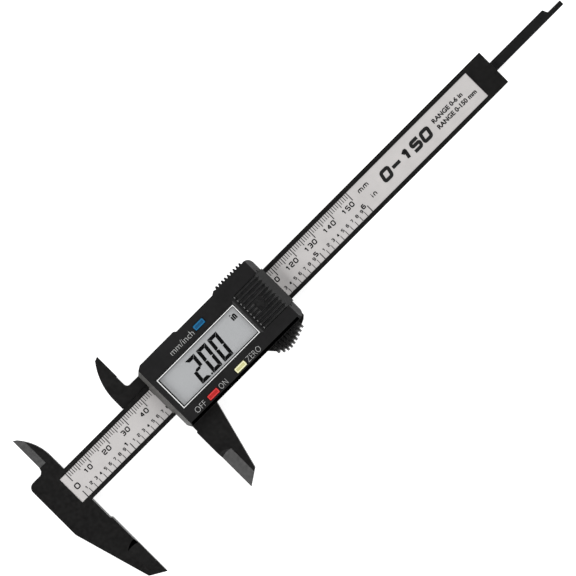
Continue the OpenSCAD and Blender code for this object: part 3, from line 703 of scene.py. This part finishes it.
# The range at the far end of the label: heavy leaning figures, then two small lines of text
RANGE_LEAN = 0.2
RANGE_BEND = 0.17
SMALL_LEFT = 192.2
SMALL_HEIGHT = 1.95
SMALL_BOLD = 0.04
bm = bmesh.new()
add_word(bm, "0-150", at_x(RANGE_RIGHT), RANGE_STYLE, LABEL_INK, RANGE_LEAN, RANGE_BEND)
new_piece("label_range_large", bm, "beam", black_ink)
for name, words, base, width in (("label_range_small_1", "RANGE 0-6 in", 0.7, 15.4),
                                 ("label_range_small_2", "RANGE 0-150 mm", -2.35, 20.0)):
    add_text(name, words, at_x(SMALL_LEFT), at_y(base), width, SMALL_HEIGHT, LABEL_TOP, "beam", black_ink,
             SMALL_BOLD)

# ---------------------------------------------------------------- the slider's prints and display

# Words beside the buttons: place of the lower left corner, width, height and how bold they are
for name, words, left, base, width, height, bold in (
        ("print_units", "mm/inch", 14.75, 8.55, 11.7, 2.4, -0.006),
        ("print_off", "OFF", 6.15, -13.25, 5.1, 2.3, -0.012),
        ("print_on", "ON", 18.8, -13.25, 3.7, 2.3, -0.012),
        ("print_zero", "ZERO", 33.2, -13.25, 6.8, 2.3, -0.016)):
    add_text(name, words, slider_x(left), at_y(base), width, height, FACE, "slider", grey_ink,
             bold)


# A button's box reaches past its visible top by its hidden flange; the painted highlight starts inside the
# rounded edge
KEY_FLANGE = 0.45
KEY_SIDE_FLANGE = 0.35
KEY_EDGE = 0.12
HIGHLIGHT_WIDTH = 0.34


def add_key_rim(name, node, body, material):
    """Pale border round the top of a button that paints the highlight on its rounded edge."""
    low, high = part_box(node)
    ends = KEY_FLANGE + KEY_EDGE
    sides = KEY_SIDE_FLANGE + KEY_EDGE
    box = inset([low.x / MM, low.y / MM, high.x / MM, high.y / MM], (ends, sides, ends, sides))
    bm = bmesh.new()
    add_frame(bm, box, [HIGHLIGHT_WIDTH] * 4, ink_level(high.z / MM))
    new_piece(name, bm, body, material)


# The slope starts this far above the beam and ends this far from the sliding face
LIP_GAP = 0.25
SLOPE_END = 1.7
LOWER_EDGE_Y = -15.25
BEVEL = 1.5
BEVEL_END = 58.0


def reading_edge():
    """Thin paler sheet that paints the highlight on the slope that runs from the reading lip up to the
    housing face.
    """
    lip = cover_low.x / MM
    foot = beam_high.z / MM + LIP_GAP
    run = slider_x(SLOPE_END) - lip
    rise = FACE - foot
    # Beside the lip, above and below the beam, the painted highlight starts higher up
    wall = foot + 0.7 * rise / run + 0.15
    # Offset from the centre line and height of each corner
    outline = [(12.35, wall), (13.5, FACE - 0.2), (-13.7, FACE - 0.2), (-14.9, FACE - 1.6),
               (-14.9, FACE - 2.3), (-13.5, wall), (-6.75, wall), (-6.75, foot + 0.1),
               (6.5, foot + 0.1), (6.5, wall)]
    points = [(lip + (z - foot) * run / rise, at_y(y), z) for y, z in outline]
    return thin_sheet(points, Vector((-rise, 0, run)).normalized())


def lower_edge():
    """Thin near-black sheet that paints the shade on the bevel along the lower edge of the housing."""
    low_y = at_y(LOWER_EDGE_Y)
    end = slider_x(BEVEL_END)
    foot = (low_y + 0.15, FACE - BEVEL + 0.15)
    brow = (low_y + BEVEL - 0.12, FACE - 0.12)
    points = [(slider_x(1.5), *foot), (end, *foot), (end, *brow), (slider_x(2.2), *brow)]
    return thin_sheet(points, Vector((0, -1, 1)).normalized())


new_piece("reading_edge_painted_highlight", reading_edge(), "slider", painted_highlight_grey)
new_piece("lower_edge_painted_shade", lower_edge(), "slider", painted_shade_black)


# The lines on the left, lower, right and upper side: distance from the lens's edge, then widths. The white
# line is print; the black line is a printed border, widened on the left and lower side into painted shade
# inside the window
LINE_INSETS = (0.04, 0.10, 0.14, 0.14)
WHITE_LINES = (0.36, 0.29, 0.34, 0.33)
BLACK_LINES_AND_SHADE = (0.58, 0.44, 0.16, 0.24)
THIN_INK = INK * 0.8
lens_box = [lens_low.x / MM, lens_low.y / MM, lens_high.x / MM, lens_high.y / MM]
line_box = inset(lens_box, LINE_INSETS)
bm = bmesh.new()
add_frame(bm, line_box, WHITE_LINES, ink_level(LENS_TOP))
new_piece("window_white_line", bm, "slider", white_ink)
# Black printed border, wider on the left and lower side where it paints the shade inside the window
bm = bmesh.new()
add_frame(bm, inset(line_box, WHITE_LINES), BLACK_LINES_AND_SHADE, ink_level(LENS_TOP, THIN_INK))
new_piece("window_black_line_and_shade", bm, "slider", black_ink)

add_key_rim("button_units_highlight", "button_units", "units_key", blue_highlight)
add_key_rim("button_power_highlight", "button_power", "power_key", red_highlight)
add_key_rim("button_zero_highlight", "button_zero", "zero_key", yellow_highlight)

# Seven segments of a digit: a top, b and c right, d bottom, e and f left, g middle
SEGMENTS = {"0": "abcdef", "2": "abged"}
DISPLAY_UNIT_RIGHT = 42.4
DIGIT_ROW = -6.8
DIGIT_LEFT = 15.1
DIGIT_W = 4.7
DIGIT_H = 10.6
DIGIT_PITCH = 5.85
SEGMENT_T = 1.42
SLANT = math.tan(math.radians(5.2))
DOT_R = 0.42
DOT_GAP = 0.12


def segment_outlines(width, height, line, gap=0.04):
    """Outlines of the seven segments; their ends are mitred, least of all half way up the digit.

    A nib is the slope of an end half way up, a bar half the thickness of the middle segment.
    """
    mid = height / 2
    half = line / 2
    nib = 0.4 * half
    bar = 0.75 * half
    left = line + gap
    right = width - line
    stop = right - gap
    upper = mid + nib + gap
    lower = mid - nib - gap
    return {
        "a": [(gap, height), (width - gap, height), (right - gap, height - line),
              (gap + line, height - line)],
        "d": [(gap, 0), (gap + line, line), (right - gap, line), (width - gap, 0)],
        "b": [(width, height - gap), (width, mid + gap), (width - half, mid + gap), (right, upper),
              (right, height - gap - line)],
        "c": [(width, mid - gap), (width, gap), (right, gap + line), (right, lower),
              (width - half, mid - gap)],
        "f": [(0, height - gap), (line, height - gap - line), (line, upper), (half, mid + gap),
              (0, mid + gap)],
        "e": [(0, mid - gap), (half, mid - gap), (line, lower), (line, gap + line), (0, gap)],
        "g": [(half + gap, mid), (left, mid + nib), (left, mid + bar), (stop, mid + bar),
              (stop, mid + nib), (width - half - gap, mid), (stop, mid - nib), (stop, mid - bar),
              (left, mid - bar), (left, mid - nib)],
    }


def add_leaning(bm, outline, left, base, level):
    """A plate whose outline leans to the right as a display's digits do."""
    points = [(left + x + y * SLANT, base + y) for x, y in outline]
    pairs = zip(points, points[1:] + points[:1])
    area = sum(x0 * y1 - x1 * y0 for (x0, y0), (x1, y1) in pairs)
    add_plate(bm, points if area > 0 else points[::-1], level)


def lcd_digits():
    """The display's reading, 2.00, with its point."""
    bm = bmesh.new()
    base = at_y(DIGIT_ROW)
    outlines = segment_outlines(DIGIT_W, DIGIT_H, SEGMENT_T)
    for place, digit in enumerate("200"):
        left = slider_x(DIGIT_LEFT + place * DIGIT_PITCH)
        for segment in SEGMENTS[digit]:
            add_leaning(bm, outlines[segment], left, base, GLASS_INK)
    turns = [k * math.pi / 8 for k in range(16)]
    dot = [(DOT_R + DOT_R * math.cos(a), DOT_R + DOT_R * math.sin(a)) for a in turns]
    add_leaning(bm, dot, slider_x(DIGIT_LEFT + DIGIT_W + DOT_GAP), base, GLASS_INK)
    return bm


new_piece("lcd_digits", lcd_digits(), "slider", lcd_ink)
bm = bmesh.new()
add_word(bm, "in", slider_x(DISPLAY_UNIT_RIGHT), DISPLAY_UNIT_STYLE, GLASS_INK)
new_piece("lcd_unit", bm, "slider", lcd_ink)

# ---------------------------------------------------------------- floor, light and camera

# Camera over the beam: height and width of the view in metres, turn in degrees, sensor in mm
CAMERA_HEIGHT = 0.70
VIEW_WIDTH = 0.2178
CAMERA_TURN = -45.07
SENSOR = 36.0
VIEW_CENTRE = Vector((at_x(109.2) * MM, at_y(-3.92) * MM, beam_high.z))

# Half width of the floor and its distance below the caliper, in metres
FLOOR_HALF_WIDTH = 3.0
FLOOR_GAP = 0.00002


def add_floor():
    """A white floor just below the caliper, bright enough to show no shadow."""
    bm = bmesh.new()
    bmesh.ops.create_grid(bm, x_segments=1, y_segments=1, size=FLOOR_HALF_WIDTH)
    mesh = bpy.data.meshes.new("floor")
    bm.to_mesh(mesh)
    bm.free()
    floor = bpy.data.objects.new("floor", mesh)
    floor.location.z = cad_box[0].z - FLOOR_GAP
    bpy.context.scene.collection.objects.link(floor)
    material, tree, shader = node_material("floor")
    tone = remap(tree, noise(tree, 3, 2), 0.3, 0.7, 0.0, 1.0)
    colour = mix_colour(tree, tone, (0.42, 0.42, 0.42), (0.45, 0.45, 0.45))
    tree.links.new(colour, shader.inputs["Base Color"])
    shader.inputs["Roughness"].default_value = 0.9
    shader.inputs["Emission Color"].default_value = (1, 1, 1, 1)
    shader.inputs["Emission Strength"].default_value = 0.84
    mesh.materials.append(material)


def add_light(name, place, size, power):
    """A square soft light that faces the middle of the object."""
    data = bpy.data.lights.new(name, "AREA")
    data.size = size
    data.energy = power
    light = bpy.data.objects.new(name, data)
    light.location = place
    aim = Vector((0, 0, 0)) - Vector(place)
    light.rotation_euler = aim.to_track_quat("-Z", "Y").to_euler()
    bpy.context.scene.collection.objects.link(light)


def add_camera():
    """Looks straight down, with the beam running up to the right."""
    data = bpy.data.cameras.new("camera")
    data.sensor_width = SENSOR
    data.lens = SENSOR * CAMERA_HEIGHT / VIEW_WIDTH
    data.clip_start = 0.01
    camera = bpy.data.objects.new("camera", data)
    camera.location = VIEW_CENTRE + Vector((0, 0, CAMERA_HEIGHT))
    camera.rotation_euler = (0, 0, math.radians(CAMERA_TURN))
    bpy.context.scene.collection.objects.link(camera)
    bpy.context.scene.camera = camera


def set_world():
    """A faint cool light from all round."""
    world = bpy.data.worlds.new("studio")
    bpy.context.scene.world = world
    world.use_nodes = True
    sky = world.node_tree.nodes["Background"]
    sky.inputs["Color"].default_value = (0.95, 0.97, 1.0, 1)
    sky.inputs["Strength"].default_value = 0.14


bpy.context.scene.view_settings.view_transform = "Standard"
add_floor()
set_world()
# Place and size in metres, power in watts
for name, place, size, power in (
        ("key_left", (-1.34, 0.0, 0.98), 1.2, 33),
        ("front", (0.6, -1.1, 1.1), 1.0, 10),
        ("back", (1.0, 1.0, 1.05), 1.2, 22),
        ("high_right", (0.45, 0.8, 1.3), 0.8, 5),
        ("low_right", (1.45, 0.1, 0.62), 1.0, 5)):
    add_light(name, place, size, power)
add_camera()
